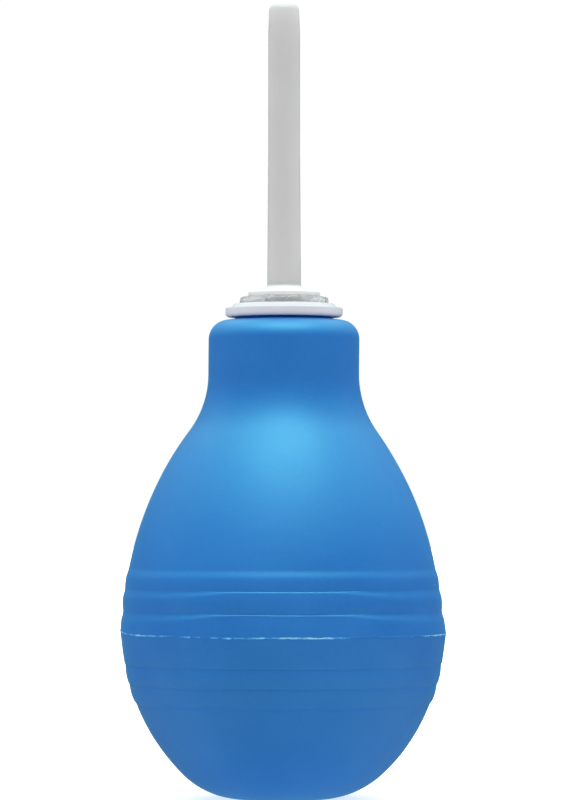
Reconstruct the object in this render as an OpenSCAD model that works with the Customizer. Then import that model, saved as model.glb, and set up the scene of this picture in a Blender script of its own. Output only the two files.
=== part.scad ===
// Bulb irrigation syringe: a soft hollow squeeze bulb, a rigid collar snapped into its mouth,
// a sealing washer, and a nozzle that screws into the collar.
// The base centre is the origin, and the nozzle points along +Z.

/* [Bulb] */
// Widest diameter, across the mould seam
bulb_d = 84; // [82:0.5:86]
// Height of the mould seam above the base
seam_z = 42.4; // [41:0.2:43.4]
// Diameter of the flat that the bulb stands on
base_d = 20; // [16:1:24]
// Section radius of the body below the seam
lower_dome_r = 50; // [49:0.5:53]
// Section radius of the body above the seam
upper_dome_r = 88; // [86:0.5:90]
// Outer diameter of the straight neck
neck_d = 38.8; // [38:0.2:40]
// Height at which the straight neck begins
neck_z = 109; // [108:0.5:110]
// Height of the shoulder on top of the neck
shoulder_z = 122.9; // [121:0.1:125]
// Radius of the rounded shoulder corner
shoulder_r = 5; // [4:0.5:6]
// Wall thickness of the bulb
wall = 3; // [2.5:0.1:3.2]

/* [Grip rings] */
// Number of grip rings on each side of the seam
ring_count = 3; // [2:1:3]
// Distance from one ring edge to the next, above the seam
ring_pitch_above = 5.7; // [5:0.1:6]
// Distance from one ring edge to the next, below the seam
ring_pitch_below = 5; // [4.5:0.1:5.2]
// Extra height of the ring that lies just below the seam
seam_band = 3; // [2:0.5:4]
// How far the first ring's edge above the seam stands out from the plain body
ring_lip_above = 0.6; // [0.5:0.05:0.8]
// How much less each further ring above the seam stands out
ring_fade = 0.12; // [0:0.01:0.15]
// How far each ring's edge below the seam stands out
ring_lip_below = 0.4; // [0.35:0.05:0.6]
// How far each ring still stands out where the next one begins
ring_tuck = 0.25; // [0.1:0.05:0.3]
// Height of the flash line that the mould leaves at the seam
flash_h = 0.5; // [0.3:0.1:0.8]
// How far the flash line and the seam band stand out from the plain body
seam_relief = 0.9; // [0.7:0.05:1.1]
// How far the flash line stands out from the seam band
flash_relief = 0.15; // [0.1:0.05:0.25]

/* [Squeeze walls] */
// Diameter of the area of wall that a finger or thumb pushes in
squeeze_d = 48; // [40:1:52]
// Height of the middle of that area
squeeze_z = 46; // [42:1:50]
// Gap round it
squeeze_gap = 0.3; // [0.2:0.1:0.5]

/* [Collar] */
// Diameter of the collar's flange
flange_d = 30.2; // [28:0.2:32]
// Thickness of the flange
flange_t = 2.45; // [2.2:0.05:3]
// Diameter of the flat boss that the washer lies on
boss_d = 25.6; // [25:0.2:26.4]
// Height of that boss above the flange
boss_h = 1; // [0.6:0.05:1.2]
// Diameter of the stem in the bulb's mouth
stem_d = 19.6; // [19:0.2:20.4]
// Length of the stem below the flange
stem_len = 11.6; // [11:0.2:13]
// How far the snap rim under the bulb's mouth stands out from the stem
snap_rim = 1.9; // [1.5:0.1:2.2]

/* [Washer] */
// Outer diameter of the sealing washer
seal_d = 22.8; // [21:0.2:24]
// Thickness of the sealing washer
seal_t = 1.8; // [1.4:0.1:2.2]
// Diameter of its hole
seal_hole_d = 12.2; // [12.2:0.1:13]

/* [Nozzle] */
// Diameter of the nozzle's straight upper part
nozzle_d = 8.24; // [8:0.04:8.6]
// Diameter of the nozzle where it meets its shoulder
nozzle_root_d = 8.72; // [8.7:0.02:9]
// Height of the nozzle's tip above the base
tip_z = 204.5; // [195:0.5:215]
// Length of the straight upper part
straight_len = 30; // [26:1:34]
// Length of the slight taper between the straight part and the tip's rounded edge
tip_taper_len = 6; // [4:0.5:8]
// Diameter where the tip's rounded edge begins
tip_d = 7.6; // [7.6:0.1:7.9]
// Radius of the rounded edge of the tip
tip_edge_r = 2; // [1.8:0.1:2]
// Diameter of the outlet in the tip
outlet_d = 3.4; // [2.6:0.1:3.4]
// Length of the outlet
outlet_len = 4.5; // [3:0.5:6]
// Diameter of the channel through the nozzle
channel_d = 5.9; // [5.7:0.1:6]
// Diameter of the nozzle's flange
nozzle_flange_d = 18.5; // [17:0.1:20]
// Thickness of the rim of that flange
nozzle_flange_t = 1.3; // [1:0.1:1.6]
// Height of the sloping shoulder on top of that flange
hub_h = 1.5; // [1.2:0.1:2]

/* [Thread] */
// Rise in one turn
thread_pitch = 3; // [2.8:0.1:3.2]
// Diameter of the nozzle's spigot under its thread
spigot_d = 10; // [9.8:0.1:10]
// Diameter of the collar's bore behind its thread
bore_d = 12; // [12:0.1:12.2]
// Height of each thread's ridge
thread_h = 0.75; // [0.6:0.05:0.75]
// Width of each thread's ridge at its foot
thread_foot_w = 1.3; // [1.1:0.1:1.4]
// Width of each thread's ridge at its crest
thread_crest_w = 0.6; // [0.5:0.1:0.7]
// Length of the spigot below the nozzle's flange
spigot_len = 9.85; // [9.6:0.05:10.2]

/* [Hidden] */
$fn = 96;

// Segments along each curved stretch of an outline
arc_steps = 12;

// Heights of the stack on top of the bulb, from the lip round its mouth up
lip_h = 0.7;
flange_z = shoulder_z + lip_h;
boss_z = flange_z + flange_t + boss_h;
nozzle_flange_z = boss_z + seal_t;
hub_z = nozzle_flange_z + nozzle_flange_t;
spigot_z = nozzle_flange_z - spigot_len;

// Width of the flat top of that lip, and of its sloping side
lip_w = 2.5;
lip_slope_w = 0.6;

// Edges: rounded on the collar and washer, bevelled elsewhere
round_edge = 0.8;
bevel = 0.4;

// Depth to which a thread's ridge is rooted in its wall, height of its first turn above the
// spigot's end, and how deep its ends start, as a share of its height
thread_root = 0.6;
thread_start = 1.3;
thread_sink = 0.4;

// The plain body is two arcs whose centres lie on the seam's plane
body_r = bulb_d / 2 - seam_relief;
lower_axis_r = body_r - lower_dome_r;
upper_axis_r = body_r - upper_dome_r;
neck_r = neck_d / 2;
base_r = base_d / 2;

// The arc under the lower dome touches it and the flat base
base_curve_r = (pow(lower_dome_r, 2) - pow(seam_z, 2) - pow(base_r - lower_axis_r, 2))
    / (2 * (lower_dome_r - seam_z));
base_tangent = atan2(base_curve_r - seam_z, base_r - lower_axis_r);

// The hollow arc between the upper dome and the neck touches both
throat_reach = neck_r - upper_axis_r;
throat_rise = neck_z - seam_z;
throat_r = (pow(throat_reach, 2) + pow(throat_rise, 2) - pow(upper_dome_r, 2))
    / (2 * (upper_dome_r - throat_reach));
throat_tangent = atan2(throat_rise, throat_reach + throat_r);

// Distances of the ring edges from the seam
rings_above = [for (i = [1:ring_count]) ring_pitch_above * i];
rings_below = [for (i = [1:ring_count]) seam_band + ring_pitch_below * i];

// Points along an arc about c, from angle a0 to angle a1
function arc(c, r, a0, a1) = [
    for (i = [0:arc_steps])
        let (a = a0 + (a1 - a0) * i / arc_steps)
        c + r * [cos(a), sin(a)]
];

function reversed(points) = [for (i = [len(points) - 1:-1:0]) points[i]];

// Radius of the plain body at a distance dz from the seam
function lower_body_r(dz) = lower_axis_r + sqrt(pow(lower_dome_r, 2) - dz * dz);
function upper_body_r(dz) = upper_axis_r + sqrt(pow(upper_dome_r, 2) - dz * dz);

// How far the ring beyond ring i, counted from the seam, stands out at its near edge
function foot_of(i) = i < ring_count - 1 ? ring_tuck : 0;

// One ring edge, from the base up: a foot and a lip at the same height
function lower_ring_edge(i) = let (r = lower_body_r(rings_below[i]), z = seam_z - rings_below[i]) [
    [r + foot_of(i), z],
    [r + ring_lip_below, z]
];
function upper_ring_edge(i) = let (r = upper_body_r(rings_above[i]), z = seam_z + rings_above[i]) [
    [r + ring_lip_above - ring_fade * i, z],
    [r + foot_of(i), z]
];

// Outer outline, from the base up to the mouth
function outer_outline() = let (
    seam_r = bulb_d / 2 - flash_relief,
    shoulder_c = [neck_r - shoulder_r, shoulder_z - shoulder_r]
) concat(
    arc([base_r, base_curve_r], base_curve_r, -90, base_tangent),
    arc([lower_axis_r, seam_z], lower_dome_r, base_tangent, -asin(rings_below[ring_count - 1] / lower_dome_r)),
    [for (i = [ring_count - 1:-1:0]) each lower_ring_edge(i)],
    [
        [seam_r, seam_z - flash_h / 2],
        [bulb_d / 2, seam_z],
        [seam_r, seam_z + flash_h / 2]
    ],
    [for (i = [0:ring_count - 1]) each upper_ring_edge(i)],
    arc([upper_axis_r, seam_z], upper_dome_r, asin(rings_above[ring_count - 1] / upper_dome_r), throat_tangent),
    arc([neck_r + throat_r, neck_z], throat_r, 180 + throat_tangent, 180),
    arc(shoulder_c, shoulder_r, 0, 90),
    [
        [stem_d / 2 + lip_w + lip_slope_w, shoulder_z],
        [stem_d / 2 + lip_w, flange_z],
        [stem_d / 2, flange_z]
    ]
);

// Inner outline, from the base up to the mouth, a wall's thickness inside the plain body
function inner_outline() = concat(
    [[0, wall]],
    arc([base_r, base_curve_r], base_curve_r - wall, -90, base_tangent),
    arc([lower_axis_r, seam_z], lower_dome_r - wall, base_tangent, 0),
    arc([upper_axis_r, seam_z], upper_dome_r - wall, 0, throat_tangent),
    arc([neck_r + throat_r, neck_z], throat_r + wall, 180 + throat_tangent, 180),
    arc([neck_r - shoulder_r, shoulder_z - shoulder_r], shoulder_r - wall, 0, 90),
    [[stem_d / 2, shoulder_z - wall]]
);

// The whole bulb wall in one piece
module bulb_wall() {
    rotate_extrude()
        polygon(concat([[0, 0]], outer_outline(), reversed(inner_outline())));
}

// A round bar along Y through the area that is squeezed
module squeeze_bar(d, length) {
    translate([0, 0, squeeze_z])
        rotate([90, 0, 0])
            cylinder(d = d, h = length, center = true);
}

module squeeze_wall() {
    intersection() {
        bulb_wall();
        translate([0, -bulb_d / 2, 0])
            squeeze_bar(squeeze_d, bulb_d);
    }
}

// A ridge that winds up round the Z axis: foot_r lies inside the wall that carries it,
// wall_r is that wall's face, and crest_r is as far as the ridge reaches.
// It fades into the wall at both ends.
module thread_ridge(foot_r, wall_r, crest_r, turns) {
    steps = 36;
    last = floor(turns * steps);
    fade_steps = 6;
    corners = 4;
    points = [
        for (i = [0:last])
            let (
                a = 360 * i / steps,
                rise = thread_pitch * i / steps,
                fade = min(1, i / fade_steps, (last - i) / fade_steps),
                top_r = wall_r + (crest_r - wall_r) * (fade * (1 + thread_sink) - thread_sink)
            )
            each [
                [foot_r * cos(a), foot_r * sin(a), rise - thread_foot_w / 2],
                [top_r * cos(a), top_r * sin(a), rise - thread_crest_w / 2],
                [top_r * cos(a), top_r * sin(a), rise + thread_crest_w / 2],
                [foot_r * cos(a), foot_r * sin(a), rise + thread_foot_w / 2]
            ]
    ];
    sides = [
        for (i = [0:last - 1])
            for (c = [0:corners - 1])
                let (
                    p = corners * i + c,
                    q = corners * i + (c + 1) % corners
                )
                each [[p, q, q + corners], [p, q + corners, p + corners]]
    ];
    start_cap = [3, 2, 1, 0];
    end_cap = [for (c = [0:corners - 1]) corners * last + c];
    faces = concat(sides, [start_cap, end_cap]);
    inward = crest_r < foot_r;
    polyhedron(points, inward ? [for (f = faces) reversed(f)] : faces);
}

module bulb() {
    color([0.2, 0.47, 0.76])
        difference() {
            bulb_wall();
            squeeze_bar(squeeze_d + 2 * squeeze_gap, 2 * bulb_d);
        }
}

module front_squeeze_wall() {
    color([0.25, 0.52, 0.8]) squeeze_wall();
}

module rear_squeeze_wall() {
    color([0.25, 0.52, 0.8])
        rotate([0, 0, 180]) squeeze_wall();
}

// Collar: flange and boss above the bulb's lip, stem and snap rim inside its mouth
module neck_collar() {
    lead_w = 0.6;
    lead_h = 1;
    snap_h = 1.2;
    snap_gap = 0.1;
    thread_turns = 2.3;
    bore_r = bore_d / 2;
    stem_r = stem_d / 2;
    stem_end_z = flange_z - stem_len;
    snap_z = shoulder_z - wall - snap_gap;
    flange_top_z = flange_z + flange_t;
    color([0.93, 0.93, 0.95])
        union() {
            rotate_extrude()
                polygon(concat(
                    [
                        [bore_r, stem_end_z],
                        [stem_r - lead_w, stem_end_z],
                        [stem_r, stem_end_z + lead_h],
                        [stem_r, stem_end_z + 2 * lead_h],
                        [stem_r + snap_rim, snap_z - snap_h],
                        [stem_r + snap_rim, snap_z],
                        [stem_r, snap_z],
                        [stem_r, flange_z]
                    ],
                    arc([flange_d / 2 - round_edge, flange_z + round_edge], round_edge, -90, 0),
                    [
                        [flange_d / 2, flange_top_z - bevel],
                        [flange_d / 2 - bevel, flange_top_z],
                        [boss_d / 2 + boss_h, flange_top_z],
                        [boss_d / 2, boss_z],
                        [bore_r, boss_z]
                    ]
                ));
            translate([0, 0, spigot_z + thread_start - thread_pitch / 2])
                thread_ridge(bore_r + thread_root, bore_r, bore_r - thread_h, thread_turns);
        }
}

module sealing_washer() {
    seal_r = seal_d / 2;
    seal_hole_r = seal_hole_d / 2;
    color([0.82, 0.84, 0.85, 0.6])
        rotate_extrude()
            polygon(concat(
                [[seal_hole_r, boss_z], [seal_r, boss_z]],
                arc([seal_r - round_edge, nozzle_flange_z - round_edge], round_edge, 0, 90),
                [[seal_hole_r, nozzle_flange_z]]
            ));
}

// Nozzle: outlet tip, tapering tube, flange with a sloping shoulder, and threaded spigot
module nozzle() {
    tube_foot_w = 0.6;
    tube_foot_h = 0.45;
    outlet_cone_h = 2;
    thread_turns = 1.6;
    spigot_r = spigot_d / 2;
    flange_r = nozzle_flange_d / 2;
    root_r = nozzle_root_d / 2;
    nozzle_r = nozzle_d / 2;
    channel_r = channel_d / 2;
    outlet_r = outlet_d / 2;
    tube_z = hub_z + hub_h;
    outlet_z = tip_z - outlet_len;
    tip_edge_z = tip_z - tip_edge_r;
    straight_top_z = tip_edge_z - tip_taper_len;
    color([0.86, 0.86, 0.87])
        union() {
            rotate_extrude()
                polygon(concat(
                    [
                        [channel_r, spigot_z],
                        [spigot_r - bevel, spigot_z],
                        [spigot_r, spigot_z + bevel],
                        [spigot_r, nozzle_flange_z],
                        [flange_r, nozzle_flange_z],
                        [flange_r, hub_z - bevel],
                        [flange_r - bevel, hub_z],
                        [root_r + tube_foot_w, tube_z - tube_foot_h],
                        [root_r, tube_z],
                        [nozzle_r, straight_top_z - straight_len],
                        [nozzle_r, straight_top_z]
                    ],
                    arc([tip_d / 2 - tip_edge_r, tip_edge_z], tip_edge_r, 0, 90),
                    [
                        [outlet_r, tip_z],
                        [outlet_r, outlet_z],
                        [channel_r, outlet_z - outlet_cone_h]
                    ]
                ));
            translate([0, 0, spigot_z + thread_start])
                thread_ridge(spigot_r - thread_root, spigot_r, spigot_r + thread_h, thread_turns);
        }
}

bulb();
front_squeeze_wall();
rear_squeeze_wall();
neck_collar();
sealing_washer();
nozzle();
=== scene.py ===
"""Looks for a bulb irrigation syringe: soft blue squeeze bulb, white collar, clear washer and nozzle."""

import math

import bpy
import numpy as np
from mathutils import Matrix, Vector, noise


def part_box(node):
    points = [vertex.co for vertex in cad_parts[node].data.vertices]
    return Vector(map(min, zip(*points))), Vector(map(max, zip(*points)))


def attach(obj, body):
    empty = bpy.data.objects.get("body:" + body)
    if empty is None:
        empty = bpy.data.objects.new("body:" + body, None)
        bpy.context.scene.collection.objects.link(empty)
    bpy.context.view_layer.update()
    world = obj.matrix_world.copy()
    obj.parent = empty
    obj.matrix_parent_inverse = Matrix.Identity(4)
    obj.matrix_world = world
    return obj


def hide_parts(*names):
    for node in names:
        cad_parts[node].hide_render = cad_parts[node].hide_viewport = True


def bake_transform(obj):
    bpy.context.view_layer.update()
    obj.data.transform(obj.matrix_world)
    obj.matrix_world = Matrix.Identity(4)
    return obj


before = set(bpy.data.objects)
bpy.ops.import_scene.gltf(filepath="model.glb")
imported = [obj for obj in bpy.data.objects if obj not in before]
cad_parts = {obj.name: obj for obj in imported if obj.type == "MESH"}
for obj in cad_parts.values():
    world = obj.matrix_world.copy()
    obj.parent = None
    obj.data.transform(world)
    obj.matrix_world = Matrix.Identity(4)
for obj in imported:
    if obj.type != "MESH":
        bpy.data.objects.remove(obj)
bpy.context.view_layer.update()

MM = 0.001
TURN = 2 * math.pi

# Gap between faces that rest on each other
CLEARANCE = 0.02 * MM

# The CAD's own boxes give every place and size that the pieces share
bulb_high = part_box("bulb")[1]
collar_low, collar_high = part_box("neck_collar")
washer_low, washer_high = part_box("sealing_washer")
nozzle_low, nozzle_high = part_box("nozzle")

# Driving sizes of the bulb, in metres
BULB_R = bulb_high.x
LIP_TOP = bulb_high.z
SEAM_Z = 42.4 * MM
SEAM_STAND = 0.9 * MM
BODY_R = BULB_R - SEAM_STAND
LOWER_DOME_R = 50 * MM
UPPER_DOME_R = 88 * MM
BASE_R = 10 * MM
NECK_R = 19.4 * MM
NECK_Z = 109 * MM
LIP_H = 0.7 * MM
SHOULDER_Z = LIP_TOP - LIP_H
SHOULDER_R = 5 * MM
WALL = 3 * MM
MOUTH_R = 10.0 * MM

# Height where the nozzle's tube begins, above its flange and sloping shoulder
HUB_H = 2.8 * MM
TUBE_Z = washer_high.z + HUB_H

# Each grip ring has its edge's distance from the seam, how far the edge stands out, and its rounding's width
RINGS_ABOVE = [
    (5.7 * MM, 0.60 * MM, 0.3 * MM),
    (11.4 * MM, 0.52 * MM, 0.45 * MM),
    (16.8 * MM, 0.38 * MM, 2.2 * MM),
]
RINGS_BELOW = [
    (8.0 * MM, 0.42 * MM, 0.5 * MM),
    (13.0 * MM, 0.46 * MM, 0.5 * MM),
    (18.0 * MM, 0.46 * MM, 0.6 * MM),
]
RING_TUCK = 0.15 * MM
SEAM_RELIEF = 0.74 * MM
RINGS_REACH = 21 * MM

# The rings' edges are softest at the two sides, and most of all above the seam
SIDE_ROUNDING = 2.6 * MM
LOWER_SIDE_SHARE = 0.25

# Roundings up to this width are a crisp quarter circle. Most of a ring's rise is at its edge.
CRISP_WIDTH = 0.5 * MM
EDGE_SHARE = 0.65

# Where the plain outline's arcs meet
LOWER_AXIS_R = BODY_R - LOWER_DOME_R
UPPER_AXIS_R = BODY_R - UPPER_DOME_R
BASE_REACH = BASE_R - LOWER_AXIS_R
BASE_CURVE_R = (LOWER_DOME_R**2 - SEAM_Z**2 - BASE_REACH**2) / (2 * (LOWER_DOME_R - SEAM_Z))
BASE_TANGENT = math.atan2(BASE_CURVE_R - SEAM_Z, BASE_REACH)
THROAT_REACH = NECK_R - UPPER_AXIS_R
THROAT_RISE = NECK_Z - SEAM_Z
THROAT_R = (THROAT_REACH**2 + THROAT_RISE**2 - UPPER_DOME_R**2) / (2 * (UPPER_DOME_R - THROAT_REACH))
THROAT_TANGENT = math.atan2(THROAT_RISE, THROAT_REACH + THROAT_R)


# ---------------------------------------------------------------- outlines


def arc(centre, radius, start, end, steps):
    """Points (r, z) along an arc, with its angles in radians."""
    angles = np.linspace(start, end, steps + 1)
    return [(centre[0] + radius * math.cos(a), centre[1] + radius * math.sin(a)) for a in angles]


def rounded(corners, steps=5):
    """An outline through (r, z) corners. A corner with a third number is rounded to that radius."""
    outline = []
    for i, corner in enumerate(corners):
        here = Vector(corner[:2])
        radius = corner[2] if len(corner) > 2 else 0
        if not radius:
            outline.append(tuple(here))
            continue
        back = (Vector(corners[i - 1][:2]) - here).normalized()
        ahead = (Vector(corners[i + 1][:2]) - here).normalized()
        half = back.angle(ahead) / 2
        middle = here + (back + ahead).normalized() * (radius / math.sin(half))
        reach = radius / math.tan(half)
        first = here + back * reach - middle
        last = here + ahead * reach - middle
        turn = first.angle_signed(last)
        for k in range(steps + 1):
            a = -turn * k / steps
            c, s = math.cos(a), math.sin(a)
            outline.append((middle.x + first.x * c - first.y * s, middle.y + first.x * s + first.y * c))
    return outline


def swell_up(t):
    """A quarter of a circle, from 0 at 0 to 1 at 1 and beyond."""
    return math.sqrt(1 - (1 - min(1.0, t)) ** 2)


def ease(t):
    """From 0 at 0 to 1 at 1 and beyond, with soft ends."""
    t = min(1.0, max(0.0, t))
    return t * t * (3 - 2 * t)


def ring_relief(distance, rings, side):
    """How far the skin stands out from the plain body at a distance from the seam.

    A ring's edge is on the side away from the seam. There the skin rises out of the next ring's tuck, or out
    of the plain body, quickly and then slowly. It then runs on to the relief at the ring's other side.
    side is 0 where edges keep their own rounding, and 1 where they have the widest.
    """
    near, near_relief = 0.0, SEAM_RELIEF
    for i, (far, lip, width) in enumerate(rings):
        if distance <= far:
            foot = RING_TUCK if i + 1 < len(rings) else 0.0
            inward = far - distance
            span = far - near
            rounding = width + max(0.0, SIDE_ROUNDING - width) * side
            crisp = 1 - ease((rounding - CRISP_WIDTH) / MM)
            edge = crisp * swell_up(inward / rounding) + (1 - crisp) * ease(inward / rounding)
            rise = EDGE_SHARE * edge + (1 - EDGE_SHARE) * ease(inward / (0.6 * span))
            top = lip + (near_relief - lip) * (inward / span) ** 2.5
            return foot + (top - foot) * rise
        near, near_relief = far, RING_TUCK
    return 0.0


def ring_heights(rings):
    """Distances from the seam to sample, close together at each ring's edge."""
    inward = [0.001, 0.02, 0.05, 0.1, 0.16, 0.24, 0.34, 0.46, 0.6, 0.8, 1.05, 1.35, 1.7, 2.2, 2.8, 3.4, 4.0]
    marks = [0.0, 0.15 * MM, 0.4 * MM]
    near = 0.0
    for far, _, _ in rings:
        marks += [far - d * MM for d in inward if far - d * MM > near + 0.7 * MM]
        marks += [near + d * MM for d in (0.05, 0.35, 0.7)]
        marks.append(far + 0.001 * MM)
        near = far
    return sorted(set(marks))


def body_r(distance, axis_r, dome_r):
    """The plain body's radius at a distance above or below the seam."""
    return axis_r + math.sqrt(dome_r**2 - distance**2)


def bulb_skin_outline():
    """The bulb's outer outline, from the middle of its base up over the lip and into its mouth."""
    below = ring_heights(RINGS_BELOW)
    above = ring_heights(RINGS_ABOVE)
    pip = [(0, 0.7), (1.2, 0.7), (1.6, 0.95), (2.4, 0.95), (2.9, 0.7)]
    hollow = [(5, 0.55), (7, 0.2), (8.4, 0.0), (9.2, 0.0)]
    base = [(r * MM, z * MM) for r, z in pip + hollow]
    lower = [(body_r(d, LOWER_AXIS_R, LOWER_DOME_R), SEAM_Z - d) for d in reversed(below)]
    upper = [(body_r(d, UPPER_AXIS_R, UPPER_DOME_R), SEAM_Z + d) for d in above[1:]]
    shoulder = (NECK_R - SHOULDER_R, SHOULDER_Z - SHOULDER_R)
    lip_z = LIP_TOP - CLEARANCE
    lip = rounded(
        [
            (shoulder[0], SHOULDER_Z),
            (MOUTH_R + 2.9 * MM, SHOULDER_Z + 0.05 * MM, 0.4 * MM),
            (MOUTH_R + 2.4 * MM, lip_z, 0.2 * MM),
            (MOUTH_R, lip_z),
            (MOUTH_R, SHOULDER_Z - WALL),
        ]
    )
    lowest_ring = -math.asin(RINGS_BELOW[-1][0] / LOWER_DOME_R)
    highest_ring = math.asin(RINGS_ABOVE[-1][0] / UPPER_DOME_R)
    return (
        base
        + arc((BASE_R, BASE_CURVE_R), BASE_CURVE_R, -math.pi / 2, BASE_TANGENT, 22)
        + arc((LOWER_AXIS_R, SEAM_Z), LOWER_DOME_R, BASE_TANGENT, lowest_ring, 22)[1:-1]
        + lower
        + upper
        + arc((UPPER_AXIS_R, SEAM_Z), UPPER_DOME_R, highest_ring, THROAT_TANGENT, 30)[1:]
        + arc((NECK_R + THROAT_R, NECK_Z), THROAT_R, math.pi + THROAT_TANGENT, math.pi, 16)[1:]
        + [(NECK_R, NECK_Z + (shoulder[1] - NECK_Z) * k / 6) for k in range(1, 6)]
        + arc(shoulder, SHOULDER_R, 0, math.pi / 2, 18)
        + lip[1:]
    )


def bulb_lining_outline():
    """The inside of the bulb's wall, from the mouth down to the middle of its floor."""
    shoulder = (NECK_R - SHOULDER_R, SHOULDER_Z - SHOULDER_R)
    up = (
        [(0, WALL)]
        + arc((BASE_R, BASE_CURVE_R), BASE_CURVE_R - WALL, -math.pi / 2, BASE_TANGENT, 12)
        + arc((LOWER_AXIS_R, SEAM_Z), LOWER_DOME_R - WALL, BASE_TANGENT, 0, 20)[1:]
        + arc((UPPER_AXIS_R, SEAM_Z), UPPER_DOME_R - WALL, 0, THROAT_TANGENT, 24)[1:]
        + arc((NECK_R + THROAT_R, NECK_Z), THROAT_R + WALL, math.pi + THROAT_TANGENT, math.pi, 12)[1:]
        + arc(shoulder, SHOULDER_R - WALL, 0, math.pi / 2, 8)
        + [(MOUTH_R, SHOULDER_Z - WALL)]
    )
    return up[::-1]


# ---------------------------------------------------------------- meshes


def seam_lift(angle):
    """How far the mould seam strays up or down at an angle round the bulb: it sits high at the left."""
    left = math.atan2(math.sin(angle - math.pi), math.cos(angle - math.pi))
    stray = noise.noise(Vector((math.cos(angle) * 2.1, math.sin(angle) * 2.1, 4.7)))
    return 0.7 * MM * math.exp(-((left / 0.30) ** 2)) + 0.25 * MM * stray


def ring_stray(angle, z):
    """How far a grip ring's edge strays up or down, as moulded soft plastic does."""
    x, y = math.cos(angle), math.sin(angle)
    return 0.10 * MM * noise.noise(Vector((x * 3.4, y * 3.4, z * 160)))


def lean(z):
    """How far the soft body leans to the left of its neck at a height. marks are (height, lean) in mm."""
    marks = [(0, 0.65), (12, 0.25), (38, 0.2), (56, 0.5), (84, 0.4), (106, 0.12), (124, 0.0)]
    for (z0, lean0), (z1, lean1) in zip(marks, marks[1:]):
        if z <= z1 * MM:
            return -MM * (lean0 + (lean1 - lean0) * ease((z / MM - z0) / (z1 - z0)))
    return 0.0


def bulb_point(r, z, angle):
    """A point of the bulb's skin: slightly out of round, with rings and seam that stray a little."""
    x, y = math.cos(angle), math.sin(angle)
    from_seam = z - SEAM_Z
    near_seam = math.exp(-((from_seam / (2.2 * MM)) ** 2))
    in_rings = 1 / (1 + math.exp((abs(from_seam) - RINGS_REACH) / (1.2 * MM)))
    lift = seam_lift(angle) * near_seam + ring_stray(angle, z) * in_rings * (1 - near_seam)
    from_base = min(1.0, max(0.0, (z - 6 * MM) / (16 * MM)))
    from_neck = min(1.0, max(0.0, (NECK_Z - z) / (20 * MM)))
    swell = 0.16 * MM * (noise.noise(Vector((x * 1.7, y * 1.7, z * 26))) - 0.5)
    swell *= from_base * from_neck * (1 - near_seam)
    side = ease(1.35 * abs(x) - 0.25)
    if from_seam > 0:
        r += swell + ring_relief(from_seam, RINGS_ABOVE, side)
    else:
        r += swell + ring_relief(-from_seam, RINGS_BELOW, LOWER_SIDE_SHARE * side)
    return (x * r + lean(z), y * r, z + lift)


def lining_point(r, z, angle):
    """A point of the bulb's lining, which leans with the skin."""
    return (r * math.cos(angle) + lean(z), r * math.sin(angle), z)


def plain_point(r, z, angle):
    """A point of a true surface of revolution."""
    return (r * math.cos(angle), r * math.sin(angle), z)


def mesh_object(name, points, faces, material):
    """A smooth-shaded mesh in the scene."""
    mesh = bpy.data.meshes.new(name)
    mesh.from_pydata([tuple(p) for p in points], [], faces)
    mesh.materials.append(material)
    mesh.shade_smooth()
    mesh.validate()
    made = bpy.data.objects.new(name, mesh)
    bpy.context.scene.collection.objects.link(made)
    return made


def revolved(name, outline, material, angles, place=plain_point, sharp=50):
    """A surface of revolution. angles that don't come round to their start leave it open.

    Edges that bend by more than sharp degrees shade as sharp.
    """
    closed = abs(angles[-1] - angles[0] - TURN) < 1e-6
    columns = list(angles[:-1]) if closed else list(angles)
    points, rows = [], []
    for r, z in outline:
        if r < 1e-7:
            rows.append([len(points)] * len(columns))
            points.append(place(0.0, z, 0.0))
        else:
            rows.append(list(range(len(points), len(points) + len(columns))))
            points += [place(r, z, a) for a in columns]
    count = len(columns) if closed else len(columns) - 1
    faces = []
    for low, high in zip(rows, rows[1:]):
        for i in range(count):
            j = (i + 1) % len(columns)
            face = list(dict.fromkeys((low[i], low[j], high[j], high[i])))
            if len(face) > 2:
                faces.append(face)
    made = mesh_object(name, points, faces, material)
    made.data.set_sharp_from_angle(angle=math.radians(sharp))
    return made


def half_turn(start, steps=120):
    """Angles over half a turn, with a very thin first and last strip so that two halves shade as one."""
    sliver = math.radians(0.05)
    inner = np.linspace(start + sliver, start + math.pi - sliver, steps)
    return [start, *inner, start + math.pi]


def full_turn(steps=128):
    """Angles that come round to their start."""
    return list(np.linspace(0, TURN, steps + 1))


def thread(name, wall_r, outward, start_z, turns, material, steps=72):
    """A helical ridge that fades into its wall at both ends. outward is 1 on a spigot and -1 in a bore."""
    foot_r = wall_r - outward * THREAD_ROOT
    last = int(turns * steps)
    points, faces = [], []
    for i in range(last + 1):
        a = TURN * i / steps
        z = start_z + PITCH * i / steps
        fade = min(1.0, i / 12, (last - i) / 12)
        top = wall_r + outward * THREAD_H * (fade * 1.4 - 0.4)
        section = ((foot_r, -THREAD_FOOT), (top, -THREAD_CREST), (top, THREAD_CREST), (foot_r, THREAD_FOOT))
        points += [(r * math.cos(a), r * math.sin(a), z + width / 2) for r, width in section]
        if i < last:
            for c in range(4):
                p, q = 4 * i + c, 4 * i + (c + 1) % 4
                faces.append((p, p + 4, q + 4, q) if outward > 0 else (p, q, q + 4, p + 4))
    made = mesh_object(name, points, faces, material)
    made.data.set_sharp_from_angle(angle=math.radians(30))
    return made


def joined(name, pieces):
    """One object made of several, which keeps the first one's material."""
    bpy.ops.object.select_all(action="DESELECT")
    for piece in pieces:
        piece.select_set(True)
    bpy.context.view_layer.objects.active = pieces[0]
    bpy.ops.object.join()
    pieces[0].name = name
    return pieces[0]


# ---------------------------------------------------------------- materials


def new_material(name):
    """A material, its node tree and its shader."""
    made = bpy.data.materials.new(name)
    made.use_nodes = True
    tree = made.node_tree
    return made, tree, tree.nodes["Principled BSDF"]


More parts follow.
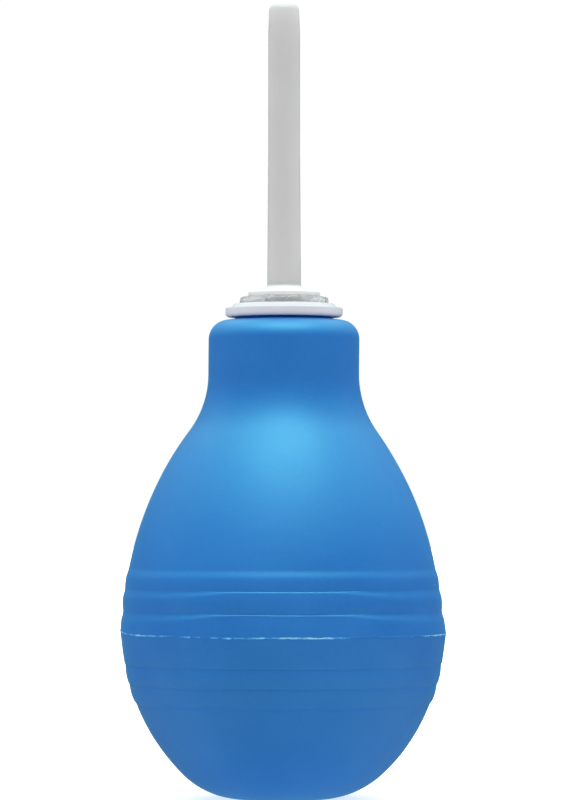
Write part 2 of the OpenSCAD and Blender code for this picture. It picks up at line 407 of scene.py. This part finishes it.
def noise_node(tree, scale, detail=3.0, roughness=0.5, stretch=(1, 1, 1)):
    """Noise in the object's own space, where scale is in waves per metre."""
    where = tree.nodes.new("ShaderNodeTexCoord")
    mapping = tree.nodes.new("ShaderNodeMapping")
    mapping.inputs["Scale"].default_value = stretch
    made = tree.nodes.new("ShaderNodeTexNoise")
    made.inputs["Scale"].default_value = scale
    made.inputs["Detail"].default_value = detail
    made.inputs["Roughness"].default_value = roughness
    tree.links.new(where.outputs["Object"], mapping.inputs["Vector"])
    tree.links.new(mapping.outputs["Vector"], made.inputs["Vector"])
    return made.outputs["Fac"]


def ramp(tree, fac, stops):
    """A colour ramp with stops (position, colour)."""
    made = tree.nodes.new("ShaderNodeValToRGB")
    elements = made.color_ramp.elements
    while len(elements) < len(stops):
        elements.new(0.5)
    for element, (position, colour) in zip(elements, stops):
        element.position = position
        element.color = (*colour, 1)
    tree.links.new(fac, made.inputs["Fac"])
    return made.outputs["Color"]


def mixed(tree, fac, a, b):
    """A where fac is 0 and b where it is 1. Each is a socket or a plain colour."""
    made = tree.nodes.new("ShaderNodeMix")
    made.data_type = "RGBA"
    tree.links.new(fac, made.inputs["Factor"])
    for socket, value in ((made.inputs["A"], a), (made.inputs["B"], b)):
        if isinstance(value, tuple):
            socket.default_value = (*value, 1)
        else:
            tree.links.new(value, socket)
    return made.outputs["Result"]


def ranged(tree, value, low, high):
    """A value from 0 to 1, stretched to low and high."""
    made = tree.nodes.new("ShaderNodeMapRange")
    made.inputs["To Min"].default_value = low
    made.inputs["To Max"].default_value = high
    tree.links.new(value, made.inputs["Value"])
    return made.outputs["Result"]


def bump(tree, shader, height, strength, distance):
    """Fine relief, where distance is its depth in metres."""
    made = tree.nodes.new("ShaderNodeBump")
    made.inputs["Strength"].default_value = strength
    made.inputs["Distance"].default_value = distance
    tree.links.new(height, made.inputs["Height"])
    tree.links.new(made.outputs["Normal"], shader.inputs["Normal"])


BLUE_DEEP = (0.010, 0.125, 0.51)
BLUE_LIGHT = (0.014, 0.147, 0.56)
BLUE_SPECK = (0.10, 0.36, 0.74)
BLUE_GLOSS = (0.34, 1.0, 0.82, 1)
BLUE_SHEEN = (0.15, 0.75, 1.0, 1)
# The seam flash's pale stops are painted glints, not the plastic's own colour.
FLASH_GLINT_STOPS = [(0.21, (0.014, 0.14, 0.53)), (0.25, (0.07, 0.33, 0.70)), (0.35, (0.30, 0.62, 0.86))]
FLASH_GLOSS = (0.36, 1.0, 0.85, 1)
COLLAR_DARK, COLLAR_LIGHT = (0.69, 0.68, 0.73), (0.74, 0.73, 0.78)
TUBE_DARK, TUBE_LIGHT = (0.56, 0.555, 0.555), (0.61, 0.605, 0.605)
# The tip's and the foot's whites are painted light, brighter than the plastic's own grey.
TIP_PAINTED_LIGHT = (0.72, 0.71, 0.71)
FOOT_PAINTED_LIGHT = (0.95, 0.94, 0.94)
CLEAR_DARK, CLEAR_LIGHT = (0.88, 0.88, 0.89), (0.96, 0.96, 0.97)
FLOOR_DARK, FLOOR_LIGHT = (0.88, 0.88, 0.88), (0.92, 0.92, 0.92)


def bulb_material():
    """Soft PVC: satin, faintly mottled by its uneven wall, with a fine moulded grain."""
    made, tree, shader = new_material("soft_blue_pvc")
    cloud = noise_node(tree, 30, 2.0)
    base = ramp(tree, cloud, [(0.3, BLUE_DEEP), (0.7, BLUE_LIGHT)])
    speck = noise_node(tree, 900, 2.0)
    tint = ramp(tree, speck, [(0.35, (0.0, 0.0, 0.0)), (0.75, (1.0, 1.0, 1.0))])
    paler = mixed(tree, ranged(tree, tint, 0.0, 0.05), base, BLUE_SPECK)
    tree.links.new(paler, shader.inputs["Base Color"])
    smear = noise_node(tree, 120, 4.0, 0.6)
    tree.links.new(ranged(tree, smear, 0.33, 0.46), shader.inputs["Roughness"])
    shader.inputs["IOR"].default_value = 1.58
    shader.inputs["Specular IOR Level"].default_value = 1.0
    shader.inputs["Specular Tint"].default_value = BLUE_GLOSS
    shader.inputs["Sheen Weight"].default_value = 0.15
    shader.inputs["Sheen Roughness"].default_value = 0.35
    shader.inputs["Sheen Tint"].default_value = BLUE_SHEEN
    grain = noise_node(tree, 1600, 2.0)
    bump(tree, shader, grain, 0.10, 0.00008)
    return made


def flash_material():
    """The trimmed edge of the mould seam, with pale flecks here and there that are painted glints of light
    on its ridge.
    """
    made, tree, shader = new_material("trimmed_seam_flash")
    torn = noise_node(tree, 420, 5.0, 0.7)
    patch = noise_node(tree, 42, 2.0)
    # Painted highlight: where both noises are high the flash turns pale, as glints on its ridge.
    painted_glint_mask = tree.nodes.new("ShaderNodeMath")
    painted_glint_mask.operation = "MULTIPLY"
    tree.links.new(torn, painted_glint_mask.inputs[0])
    tree.links.new(patch, painted_glint_mask.inputs[1])
    tree.links.new(ramp(tree, painted_glint_mask.outputs["Value"], FLASH_GLINT_STOPS), shader.inputs["Base Color"])
    shader.inputs["Roughness"].default_value = 0.38
    shader.inputs["IOR"].default_value = 1.50
    shader.inputs["Specular Tint"].default_value = FLASH_GLOSS
    bump(tree, shader, torn, 0.3, 0.0002)
    return made


def height_node(tree, low, high):
    """0 below one height of the object's own space, rising to 1 at another."""
    where = tree.nodes.new("ShaderNodeTexCoord")
    split = tree.nodes.new("ShaderNodeSeparateXYZ")
    made = tree.nodes.new("ShaderNodeMapRange")
    made.inputs["From Min"].default_value = low
    made.inputs["From Max"].default_value = high
    tree.links.new(where.outputs["Object"], split.inputs["Vector"])
    tree.links.new(split.outputs["Z"], made.inputs["Value"])
    return made.outputs["Result"]


def white_plastic(name, dark, light, low_rough, high_rough):
    """Moulded rigid plastic, barely uneven in colour, with a faint flow grain."""
    made, tree, shader = new_material(name)
    cloud = noise_node(tree, 60, 3.0)
    tree.links.new(ramp(tree, cloud, [(0.3, dark), (0.7, light)]), shader.inputs["Base Color"])
    smear = noise_node(tree, 260, 3.0, 0.6, (1, 1, 0.25))
    tree.links.new(ranged(tree, smear, low_rough, high_rough), shader.inputs["Roughness"])
    shader.inputs["IOR"].default_value = 1.49
    grain = noise_node(tree, 2400, 2.0, 0.5, (1, 1, 0.4))
    bump(tree, shader, grain, 0.06, 0.00005)
    return made, tree, shader


def nozzle_material():
    """The thin tube is plain grey. Its tip, and the flange and sloping shoulder at its foot, are painted
    whiter: painted light for the strong light that falls on them.
    """
    made, tree, shader = white_plastic("nozzle_white_plastic", TUBE_DARK, TUBE_LIGHT, 0.28, 0.40)
    tube = shader.inputs["Base Color"].links[0].from_socket
    # Painted light by height: the foot and the tip are made whiter than the tube.
    foot = height_node(tree, TUBE_Z - 0.4 * MM, TUBE_Z + 0.4 * MM)
    painted_tip_light_mask = height_node(tree, nozzle_high.z - 6 * MM, nozzle_high.z)
    upper = mixed(tree, painted_tip_light_mask, tube, TIP_PAINTED_LIGHT)
    tree.links.new(mixed(tree, foot, FOOT_PAINTED_LIGHT, upper), shader.inputs["Base Color"])
    return made


def clear_material():
    """Soft clear plastic of the washer, slightly cloudy."""
    made, tree, shader = new_material("clear_soft_washer")
    cloud = noise_node(tree, 350, 3.0)
    cloudy = ramp(tree, cloud, [(0.3, CLEAR_DARK), (0.7, CLEAR_LIGHT)])
    tree.links.new(cloudy, shader.inputs["Base Color"])
    tree.links.new(ranged(tree, cloud, 0.22, 0.34), shader.inputs["Roughness"])
    shader.inputs["Transmission Weight"].default_value = 0.7
    shader.inputs["IOR"].default_value = 1.40
    grain = noise_node(tree, 1500, 2.0)
    bump(tree, shader, grain, 0.08, 0.00006)
    return made


blue_pvc = bulb_material()
pale_flash = flash_material()
collar_white = white_plastic("collar_white_plastic", COLLAR_DARK, COLLAR_LIGHT, 0.26, 0.36)[0]
nozzle_white = nozzle_material()
washer_clear = clear_material()


# ---------------------------------------------------------------- bulb


def squeezed(piece):
    """Bakes a piece's placement into its mesh."""
    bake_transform(piece)


def seam_flash(name, start):
    """A ragged low ridge along the mould seam, over half a turn. Its section is in widths and heights."""
    points, faces = [], []
    angles = half_turn(start, 900)
    section = ((-1.0, -0.25), (-0.6, 0.35), (-0.15, 1.0), (0.35, 0.8), (1.0, -0.25))
    for a in angles:
        x, y = math.cos(a), math.sin(a)
        ragged = noise.noise(Vector((x * 60, y * 60, 1.3)))
        ragged += 0.6 * noise.noise(Vector((x * 190, y * 190, 7.1)))
        patch = 0.5 + 0.5 * noise.noise(Vector((x * 9, y * 9, 2.2)))
        height = MM * max(0.02, min(0.16, 0.05 + 0.13 * patch * (0.4 + ragged)))
        width = MM * (0.20 + 0.10 * noise.noise(Vector((x * 31, y * 31, 5.5))))
        shift = MM * 0.10 * noise.noise(Vector((x * 44, y * 44, 9.5)))
        for across, out in section:
            r = BODY_R + out * height
            points.append(bulb_point(r, SEAM_Z + shift - across * width, a))
    count = len(section)
    for i in range(len(angles) - 1):
        for k in range(count - 1):
            p = i * count + k
            faces.append((p, p + 1, p + 1 + count, p + count))
    return mesh_object(name, points, faces, pale_flash)


for side, word in ((-1, "front"), (1, "rear")):
    start = math.pi if side < 0 else 0.0
    outline = bulb_skin_outline()
    skin = revolved(f"bulb_skin_{word}", outline, blue_pvc, half_turn(start), bulb_point, sharp=60)
    squeezed(skin)
    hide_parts("bulb", f"{word}_squeeze_wall")
    outline = bulb_lining_outline()
    lining = revolved(f"bulb_lining_{word}", outline, blue_pvc, half_turn(start, 80), lining_point, sharp=60)
    squeezed(lining)
    flash = seam_flash(f"bulb_seam_flash_{word}", start)
    squeezed(flash)


# ---------------------------------------------------------------- collar, washer, nozzle

# Collar: a flange with a boss on it, and a stem in the bulb's mouth with a snap rim under the mouth's wall
FLANGE_R = collar_high.x
FLANGE_Z = LIP_TOP
BOSS_Z = collar_high.z
BOSS_R = 12.8 * MM
BOSS_H = 1.0 * MM
STEM_END = collar_low.z
STEM_R = 9.75 * MM
BORE_R = 6.0 * MM
SNAP_R = STEM_R + 1.9 * MM
SNAP_Z = SHOULDER_Z - WALL - 0.1 * MM

# Nozzle
SPIGOT_R = 5.0 * MM
SPIGOT_Z = nozzle_low.z
ROOT_R = 4.36 * MM
TUBE_R = 4.12 * MM
TIP_R = 3.75 * MM
CHANNEL_R = 2.95 * MM
OUTLET_R = 1.7 * MM

# Thread: its height, how deep its ridge is rooted, the ridge's width at foot and crest, and its turns
PITCH = 3 * MM
THREAD_H = 0.75 * MM
THREAD_ROOT = 0.3 * MM
THREAD_FOOT = 1.3 * MM
THREAD_CREST = 0.6 * MM
THREAD_START = SPIGOT_Z + 1.3 * MM
BORE_TURNS = 2.3
SPIGOT_TURNS = 1.6

# Washer, with a V mark and a tick on its rim, at angles to the left and right of the front
HOLE_R = 6.1 * MM
WASHER_ROUNDING = 0.85 * MM
FRONT = 1.5 * math.pi
INDEX_TURN = math.radians(20.5)
TICK_TURN = math.radians(34)


def collar():
    """The white bush in the bulb's mouth, with its thread."""
    flange_top = BOSS_Z - BOSS_H
    outline = rounded(
        [
            (BORE_R, STEM_END + 3 * MM),
            (BORE_R, STEM_END, 0.3 * MM),
            (STEM_R - 0.6 * MM, STEM_END, 0.2 * MM),
            (STEM_R, STEM_END + 1.0 * MM, 0.3 * MM),
            (STEM_R, STEM_END + 2.0 * MM, 0.8 * MM),
            (SNAP_R, SNAP_Z - 1.2 * MM, 0.4 * MM),
            (SNAP_R, SNAP_Z, 0.3 * MM),
            (STEM_R, SNAP_Z, 0.2 * MM),
            (STEM_R, FLANGE_Z, 0.15 * MM),
            (FLANGE_R, FLANGE_Z, 0.9 * MM),
            (FLANGE_R, flange_top, 0.4 * MM),
            (BOSS_R + BOSS_H, flange_top, 0.5 * MM),
            (BOSS_R, BOSS_Z, 0.25 * MM),
            (BORE_R + 0.4 * MM, BOSS_Z, 0.1 * MM),
            (BORE_R, BOSS_Z - 0.4 * MM, 0.1 * MM),
            (BORE_R, STEM_END + 3 * MM),
        ]
    )
    body = revolved("neck_collar_body", outline, collar_white, full_turn())
    ridge = thread("neck_collar_thread", BORE_R, -1, THREAD_START - PITCH / 2, BORE_TURNS, collar_white)
    return joined("neck_collar_moulding", [body, ridge])


def rim_mark(outline, angle):
    """A small raised mark on the washer's rim. outline has points (across, down) from the rim's top."""
    points = []
    for across, down in outline:
        up_curve = max(0.0, WASHER_ROUNDING - down)
        rim = washer_high.x - WASHER_ROUNDING + math.sqrt(WASHER_ROUNDING**2 - up_curve**2)
        turned = angle + across / washer_high.x
        for r in (rim - 0.3 * MM, rim + 0.12 * MM):
            points.append((r * math.cos(turned), r * math.sin(turned), washer_high.z - down))
    count = len(outline)
    sides = [(2 * i, 2 * i + 1, (2 * i + 3) % (2 * count), (2 * i + 2) % (2 * count)) for i in range(count)]
    front = tuple(2 * i + 1 for i in reversed(range(count)))
    back = tuple(2 * i for i in range(count))
    return mesh_object("rim_mark", points, [*sides, front, back], washer_clear)


def washer():
    """The clear ring between collar and nozzle, with the marks on its rim."""
    r = washer_high.x
    low, high = washer_low.z + CLEARANCE, washer_high.z - CLEARANCE
    middle = (low + high) / 2
    outline = rounded(
        [
            (HOLE_R, middle),
            (HOLE_R, low, 0.25 * MM),
            (r, low, 0.2 * MM),
            (r, high, WASHER_ROUNDING),
            (HOLE_R, high, 0.25 * MM),
            (HOLE_R, middle),
        ],
        steps=6,
    )
    ring = revolved("sealing_washer_body", outline, washer_clear, full_turn())
    arm, stroke, depth = 1.3 * MM, 0.32 * MM, 1.15 * MM
    half_v = [(0, depth), (arm, 0.1 * MM), (arm - stroke, 0.1 * MM), (0, depth - stroke * 1.3)]
    index_v = half_v + [(-across, down) for across, down in half_v[2:0:-1]]
    tick = [(-0.2 * MM, 0.7 * MM), (-0.2 * MM, 1.5 * MM), (0.2 * MM, 1.5 * MM), (0.2 * MM, 0.7 * MM)]
    marks = [rim_mark(index_v, FRONT - INDEX_TURN), rim_mark(tick, FRONT + TICK_TURN)]
    return joined("sealing_washer_ring", [ring, *marks])


def nozzle():
    """The tube with its tip and outlet, its flange and sloping shoulder, and its threaded spigot."""
    top = nozzle_high.z
    flange_r = nozzle_high.x
    flange_z = washer_high.z
    hub_z = flange_z + 1.3 * MM
    straight_top = top - 8 * MM
    straight = straight_top - 30 * MM
    outline = rounded(
        [
            (CHANNEL_R, SPIGOT_Z + 4 * MM),
            (CHANNEL_R, SPIGOT_Z, 0.3 * MM),
            (SPIGOT_R - 0.5 * MM, SPIGOT_Z, 0.15 * MM),
            (SPIGOT_R, SPIGOT_Z + 0.5 * MM, 0.2 * MM),
            (SPIGOT_R, flange_z, 0.2 * MM),
            (flange_r, flange_z, 0.25 * MM),
            (flange_r, hub_z, 0.35 * MM),
            (ROOT_R + 0.35 * MM, TUBE_Z - 0.5 * MM, 0.45 * MM),
            (ROOT_R, TUBE_Z + 0.1 * MM, 0.3 * MM),
            (TUBE_R, straight, 60 * MM),
            (TUBE_R, straight_top, 20 * MM),
            (TIP_R + 0.17 * MM, top - 2.6 * MM, 6 * MM),
            (TIP_R, top, 1.85 * MM),
            (OUTLET_R, top, 0.12 * MM),
            (OUTLET_R, top - 4.5 * MM, 0.2 * MM),
            (CHANNEL_R, top - 6.5 * MM, 0.3 * MM),
            (CHANNEL_R, SPIGOT_Z + 4 * MM),
        ],
        steps=8,
    )
    body = revolved("nozzle_body", outline, nozzle_white, full_turn(96))
    ridge = thread("nozzle_thread", SPIGOT_R, 1, THREAD_START, SPIGOT_TURNS, nozzle_white)
    return joined("nozzle_moulding", [body, ridge])


for piece, node, body, slot in (
    (collar(), "neck_collar", "bulb", "collar_plastic"),
    (washer(), "sealing_washer", "washer", "washer_clear"),
    (nozzle(), "nozzle", "nozzle", "nozzle_plastic"),
):
    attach(piece, body)
    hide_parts(node)


# ---------------------------------------------------------------- stage, light, camera

# The studio's brightness by height, from 0 for straight down to 1 for straight up, as (height, brightness).
# Matt surfaces are lit by the first pair, on the camera's side and behind. Gloss mirrors the second pair,
# where the floor is screened off.
MATT_FRONT = [
    (0.0, 0.6), (0.20, 1.25), (0.38, 1.2), (0.48, 0.55),
    (0.62, 0.42), (0.75, 0.48), (0.85, 0.8), (0.97, 1.8),
]
MATT_BACK = [
    (0.0, 0.6), (0.20, 1.8), (0.40, 2.6), (0.50, 0.10),
    (0.62, 0.15), (0.75, 1.0), (0.85, 1.5), (0.97, 1.8),
]
GLOSS_FRONT = [(0.0, 0.08), (0.45, 0.10), (0.60, 0.13), (0.75, 0.60), (0.86, 1.9), (0.95, 4.2)]
GLOSS_BACK = [(0.0, 0.08), (0.45, 0.10), (0.57, 0.14), (0.66, 0.60), (0.75, 1.1), (0.88, 2.2)]
GLOSS_TINT = (0.50, 0.98, 0.93, 1)
SEEN_WHITE = (0.49, 0.49, 0.49)
WORLD_STRENGTH = 2.08


def stage_floor():
    """A pale floor that glows a little, so that the object's shadow is faint. It throws no light back up."""
    made, tree, shader = new_material("pale_floor")
    cloud = noise_node(tree, 3, 2.0)
    pale = ramp(tree, cloud, [(0.3, FLOOR_DARK), (0.7, FLOOR_LIGHT)])
    tree.links.new(pale, shader.inputs["Base Color"])
    shader.inputs["Roughness"].default_value = 0.9
    shader.inputs["Specular IOR Level"].default_value = 0.0
    shader.inputs["Emission Color"].default_value = (0.9, 0.9, 0.9, 1)
    shader.inputs["Emission Strength"].default_value = 0.7
    reach = 6.0
    corners = [(-reach, -reach, 0), (reach, -reach, 0), (reach, reach, 0), (-reach, reach, 0)]
    floor = mesh_object("floor", corners, [(0, 1, 2, 3)], made)
    floor.visible_diffuse = False
    floor.visible_glossy = False


def studio_world():
    """White where the camera sees it. The object is lit by a bright ceiling, dim walls and a pale floor."""
    world = bpy.data.worlds.new("studio")
    bpy.context.scene.world = world
    world.use_nodes = True
    tree = world.node_tree
    where = tree.nodes.new("ShaderNodeTexCoord")
    split = tree.nodes.new("ShaderNodeSeparateXYZ")
    tree.links.new(where.outputs["Generated"], split.inputs["Vector"])
    height = tree.nodes.new("ShaderNodeMapRange")
    height.inputs["From Min"].default_value = -1.0
    tree.links.new(split.outputs["Z"], height.inputs["Value"])
    behind = tree.nodes.new("ShaderNodeMapRange")
    behind.interpolation_type = "SMOOTHSTEP"
    behind.inputs["From Min"].default_value = -0.5
    behind.inputs["From Max"].default_value = 0.3
    tree.links.new(split.outputs["Y"], behind.inputs["Value"])

    def brightness(stops):
        """A grey ramp over the height. WORLD_STRENGTH is about 2, so each value is halved here."""
        return ramp(tree, height.outputs["Result"], [(z, (v / 2, v / 2, v / 2)) for z, v in stops])

    matt = mixed(tree, behind.outputs["Result"], brightness(MATT_FRONT), brightness(MATT_BACK))
    gloss = mixed(tree, behind.outputs["Result"], brightness(GLOSS_FRONT), brightness(GLOSS_BACK))
    rays = tree.nodes.new("ShaderNodeLightPath")
    mirrored = tree.nodes.new("ShaderNodeMix")
    mirrored.data_type = "RGBA"
    mirrored.blend_type = "MULTIPLY"
    mirrored.inputs["Factor"].default_value = 1.0
    mirrored.inputs["B"].default_value = GLOSS_TINT
    tree.links.new(gloss, mirrored.inputs["A"])
    around = mixed(tree, rays.outputs["Is Glossy Ray"], matt, mirrored.outputs["Result"])
    around = mixed(tree, rays.outputs["Is Transmission Ray"], around, gloss)
    seen = mixed(tree, rays.outputs["Is Camera Ray"], around, SEEN_WHITE)
    background = tree.nodes["Background"]
    tree.links.new(seen, background.inputs["Color"])
    background.inputs["Strength"].default_value = WORLD_STRENGTH
    world.cycles.sampling_method = "NONE"


def sun(name, towards, strength, spread):
    """A soft light from infinitely far, which shines from the direction given."""
    lamp = bpy.data.lights.new(name, "SUN")
    lamp.energy = strength
    lamp.angle = math.radians(spread)
    made = bpy.data.objects.new(name, lamp)
    made.rotation_euler = Vector(towards).to_track_quat("Z", "Y").to_euler()
    bpy.context.scene.collection.objects.link(made)


def camera():
    """Far off with a long lens, at the height of the bulb's upper part, looking very slightly up."""
    across = -0.42 * MM
    distance = 1.08
    eye_z = 75.8 * MM
    aim_z = 102.3 * MM
    view_height = 205.8 * MM
    sensor = 36
    lens_data = bpy.data.cameras.new("camera")
    made = bpy.data.objects.new("camera", lens_data)
    made.location = (across, -distance, eye_z)
    sight = Vector((across, 0, aim_z)) - made.location
    made.rotation_euler = sight.to_track_quat("-Z", "Y").to_euler()
    lens_data.sensor_width = sensor
    lens_data.lens = sensor * sight.length / view_height
    lens_data.clip_start = 0.01
    lens_data.clip_end = 50
    bpy.context.scene.collection.objects.link(made)
    bpy.context.scene.camera = made


stage_floor()
studio_world()
sun("key_softbox", (0.06, -0.32, 0.95), 0.6, 50)
camera()
bpy.context.scene.view_settings.view_transform = "Standard"
